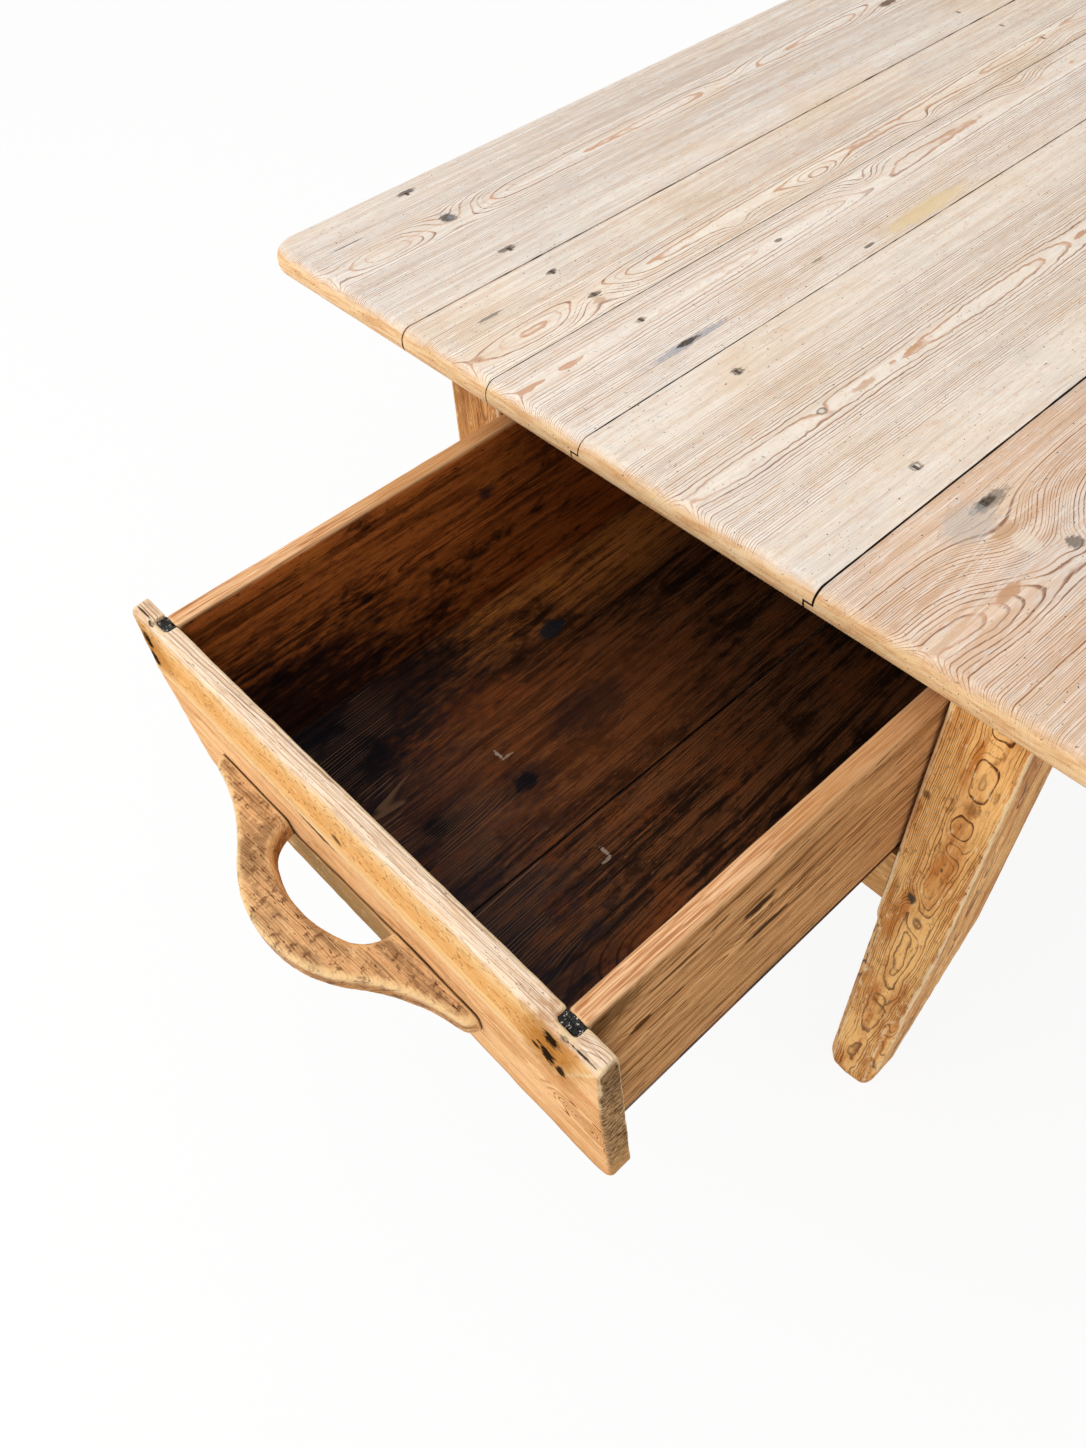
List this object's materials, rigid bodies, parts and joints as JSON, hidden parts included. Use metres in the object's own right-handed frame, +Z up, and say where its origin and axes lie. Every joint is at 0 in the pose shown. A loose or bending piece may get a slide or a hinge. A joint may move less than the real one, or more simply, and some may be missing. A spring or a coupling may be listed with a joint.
{
  "type": "farmhouse table",
  "caption": "Long pine table with a plank top on tapered square legs and a deep drawer at one end that slides out by a carved loop handle.",
  "frame": {"origin": "on the floor, under the middle of the bounding box with the drawer drawn out as in the picture", "axes": "+Z up, +Y along the table away from the drawer, +X to the right for someone who faces the drawer"},
  "size_m": [1.25, 2.4616, 0.769],
  "materials": {
    "scrubbed_pine": "scrubbed bare pine, pale and dry",
    "frame_pine": "waxed old pine with strong grain",
    "drawer_pine": "waxed honey-coloured pine",
    "stained_pine": "bare pine, stained dark by use",
    "handle_pine": "pine polished and greyed by hands",
    "nail_iron": "rusted wrought iron",
    "pitch": "glossy black pitch",
    "peg_wood": "bare riven wood"
  },
  "bodies": {
    "table": {"top_board_1": "scrubbed_pine", "top_board_2": "scrubbed_pine", "top_board_3": "scrubbed_pine", "top_board_4": "scrubbed_pine", "top_board_5": "scrubbed_pine", "top_board_6": "scrubbed_pine", "top_nails": "nail_iron", "top_batten_front": "frame_pine", "top_batten_middle": "frame_pine", "top_batten_rear": "frame_pine", "batten_dowels": "peg_wood", "leg_front_right": "frame_pine", "leg_front_left": "frame_pine", "leg_rear_right": "frame_pine", "leg_rear_left": "frame_pine", "front_top_rail": "frame_pine", "front_lower_rail": "frame_pine", "rear_apron": "frame_pine", "side_apron_right": "frame_pine", "side_apron_left": "frame_pine", "drawer_runner_right": "frame_pine", "drawer_runner_left": "frame_pine", "runner_nails": "nail_iron"},
    "drawer": {"drawer_front": "drawer_pine", "drawer_side_right": "drawer_pine", "drawer_side_left": "drawer_pine", "drawer_back": "stained_pine", "drawer_bottom_left": "stained_pine", "drawer_bottom_right": "stained_pine", "bottom_nails": "nail_iron", "front_nails": "nail_iron", "housing_fills": "pitch", "drawer_handle": "handle_pine", "handle_dowels": "peg_wood"}
  },
  "joints": [
    {"name": "drawer_slide", "type": "slide", "parent": "table", "child": "drawer", "axis": [0, -1, 0], "range_m": [-0.3798, 0.225]}
  ]
}
